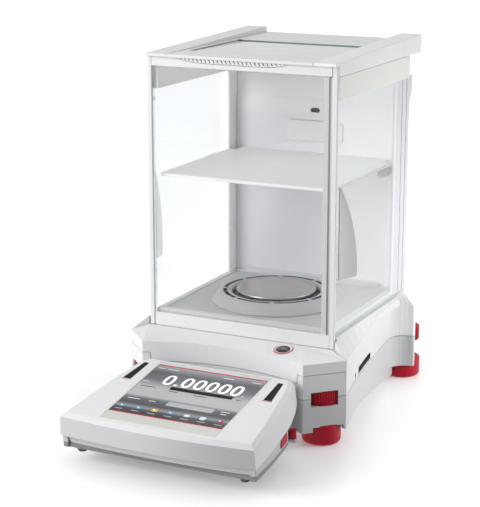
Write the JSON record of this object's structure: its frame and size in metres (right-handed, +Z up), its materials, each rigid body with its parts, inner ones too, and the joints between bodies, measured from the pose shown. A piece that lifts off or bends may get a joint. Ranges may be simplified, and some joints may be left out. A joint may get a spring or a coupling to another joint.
{
  "type": "semi-micro balance",
  "caption": "Laboratory balance with a glass draft shield, sliding side and top doors, a shelf above the pan, levelling feet and a tilted touch terminal.",
  "frame": {"origin": "middle of the footprint of the whole balance and its terminal, on the bench", "axes": "+Z up, -Y towards the user, who faces the screen and the front glass"},
  "size_m": [0.23, 0.4034, 0.3595],
  "materials": {
    "shell_white": "fine satin grain",
    "hanger_cream": "satin",
    "red_plastic": "semi-gloss",
    "dark_plastic": "semi-gloss",
    "foot_rubber": "matt",
    "grey_plastic": "satin",
    "pane_glass": "clear, polished edges",
    "pan_steel": "brushed",
    "knob_chrome": "polished",
    "cell_aluminium": "milled",
    "magnet_iron": "machined",
    "circuit_board": "solder resist",
    "screen_glass": "touch screen"
  },
  "bodies": {
    "base": {"lower_housing": "shell_white", "upper_housing": "shell_white", "front_cover": "shell_white", "rear_tower": "shell_white", "chamber_back": "shell_white", "front_post_left": "shell_white", "front_post_right": "shell_white", "front_frame": "shell_white", "top_rail_left": "shell_white", "top_rail_right": "shell_white", "top_header": "shell_white", "terminal_top": "shell_white", "shelf": "hanger_cream", "wall_cover": "hanger_cream", "terminal_overlay": "hanger_cream", "bracket_screws": "red_plastic", "level_bezel": "red_plastic", "slot_liner": "dark_plastic", "rear_sockets": "dark_plastic", "power_inlet": "dark_plastic", "ion_nozzle": "dark_plastic", "sensor_windows": "dark_plastic", "level_vial": "dark_plastic", "cal_motor": "dark_plastic", "terminal_feet": "foot_rubber", "terminal_bottom": "grey_plastic", "terminal_bracket": "grey_plastic", "floor_plate": "grey_plastic", "front_glass": "pane_glass", "pan_support": "pan_steel", "weigh_cell": "cell_aluminium", "weigh_lever": "cell_aluminium", "coil_magnet": "magnet_iron", "mainboard": "circuit_board", "terminal_board": "circuit_board", "display_panel": "screen_glass"},
    "left_door": {"left_door_glass": "pane_glass", "left_door_hanger": "hanger_cream", "left_door_handle": "shell_white"},
    "right_door": {"right_door_glass": "pane_glass", "right_door_hanger": "hanger_cream", "right_door_handle": "shell_white"},
    "top_door": {"top_door_frame": "shell_white", "top_door_glass": "pane_glass"},
    "pan": {"weighing_pan": "pan_steel"},
    "ring": {"draft_ring": "hanger_cream"},
    "knob_left": {"shelf_knob_left": "knob_chrome"},
    "knob_right": {"shelf_knob_right": "knob_chrome"},
    "button_left": {"release_button_left": "red_plastic"},
    "button_right": {"release_button_right": "red_plastic"},
    "adjust_screw": {"cal_screw": "pan_steel"},
    "adjust_weight": {"cal_weight": "pan_steel"},
    "wheel_front_left": {"thumbwheel_front_left": "red_plastic"},
    "foot_front_left": {"foot_front_left": "red_plastic"},
    "wheel_front_right": {"thumbwheel_front_right": "red_plastic"},
    "foot_front_right": {"foot_front_right": "red_plastic"},
    "wheel_rear_left": {"thumbwheel_rear_left": "red_plastic"},
    "foot_rear_left": {"foot_rear_left": "red_plastic"},
    "wheel_rear_right": {"thumbwheel_rear_right": "red_plastic"},
    "foot_rear_right": {"foot_rear_right": "red_plastic"}
  },
  "joints": [
    {"name": "left_door_slide", "type": "slide", "parent": "base", "child": "left_door", "axis": [0, 1, 0], "range_m": [0, 0.13]},
    {"name": "right_door_slide", "type": "slide", "parent": "base", "child": "right_door", "axis": [0, 1, 0], "range_m": [0, 0.13]},
    {"name": "top_door_slide", "type": "slide", "parent": "base", "child": "top_door", "axis": [0, 1, 0], "range_m": [0, 0.135]},
    {"name": "pan_lift", "type": "slide", "parent": "base", "child": "pan", "axis": [0, 0, 1], "range_m": [0, 0.06]},
    {"name": "ring_lift", "type": "slide", "parent": "base", "child": "ring", "axis": [0, 0, 1], "range_m": [0, 0.05]},
    {"name": "wheel_front_left_turn", "type": "hinge", "parent": "base", "child": "wheel_front_left", "pos_m": [-0.0905, -0.0378, 0.047], "axis": [0, 0, 1], "range_deg": [0, 1080]},
    {"name": "foot_front_left_reach", "type": "slide", "parent": "base", "child": "foot_front_left", "axis": [0, 0, -1], "range_m": [0, 0.006]},
    {"name": "wheel_front_right_turn", "type": "hinge", "parent": "base", "child": "wheel_front_right", "pos_m": [0.0905, -0.0378, 0.047], "axis": [0, 0, 1], "range_deg": [0, 1080]},
    {"name": "foot_front_right_reach", "type": "slide", "parent": "base", "child": "foot_front_right", "axis": [0, 0, -1], "range_m": [0, 0.006]},
    {"name": "wheel_rear_left_turn", "type": "hinge", "parent": "base", "child": "wheel_rear_left", "pos_m": [-0.0885, 0.1832, 0.047], "axis": [0, 0, 1], "range_deg": [0, 1080]},
    {"name": "foot_rear_left_reach", "type": "slide", "parent": "base", "child": "foot_rear_left", "axis": [0, 0, -1], "range_m": [0, 0.006]},
    {"name": "wheel_rear_right_turn", "type": "hinge", "parent": "base", "child": "wheel_rear_right", "pos_m": [0.0885, 0.1832, 0.047], "axis": [0, 0, 1], "range_deg": [0, 1080]},
    {"name": "foot_rear_right_reach", "type": "slide", "parent": "base", "child": "foot_rear_right", "axis": [0, 0, -1], "range_m": [0, 0.006]},
    {"name": "knob_left_turn", "type": "hinge", "parent": "base", "child": "knob_left", "pos_m": [-0.0815, 0.14, 0.227], "axis": [0, 1, 0], "range_deg": [0, 360]},
    {"name": "knob_right_turn", "type": "hinge", "parent": "base", "child": "knob_right", "pos_m": [0.0815, 0.14, 0.227], "axis": [0, 1, 0], "range_deg": [0, 360]},
    {"name": "button_left_press", "type": "slide", "parent": "base", "child": "button_left", "axis": [1, 0, 0], "range_m": [0, 0.002], "stiffness_N_per_m": 400},
    {"name": "button_right_press", "type": "slide", "parent": "base", "child": "button_right", "axis": [-1, 0, 0], "range_m": [0, 0.002], "stiffness_N_per_m": 400},
    {"name": "adjust_screw_turn", "type": "hinge", "parent": "base", "child": "adjust_screw", "pos_m": [0.05, 0.0572, 0.06], "axis": [0, 0, -1], "range_deg": [0, 1080]},
    {"name": "adjust_weight_lift", "type": "slide", "parent": "base", "child": "adjust_weight", "axis": [0, 0, 1], "range_m": [0, 0.003]}
  ],
  "couplings": [
    {"joint": "wheel_front_left_turn", "follows": "foot_front_left_reach", "rad_per_m": 3141.6},
    {"joint": "wheel_front_right_turn", "follows": "foot_front_right_reach", "rad_per_m": 3141.6},
    {"joint": "wheel_rear_left_turn", "follows": "foot_rear_left_reach", "rad_per_m": 3141.6},
    {"joint": "wheel_rear_right_turn", "follows": "foot_rear_right_reach", "rad_per_m": 3141.6},
    {"joint": "adjust_screw_turn", "follows": "adjust_weight_lift", "rad_per_m": 6283.2}
  ]
}
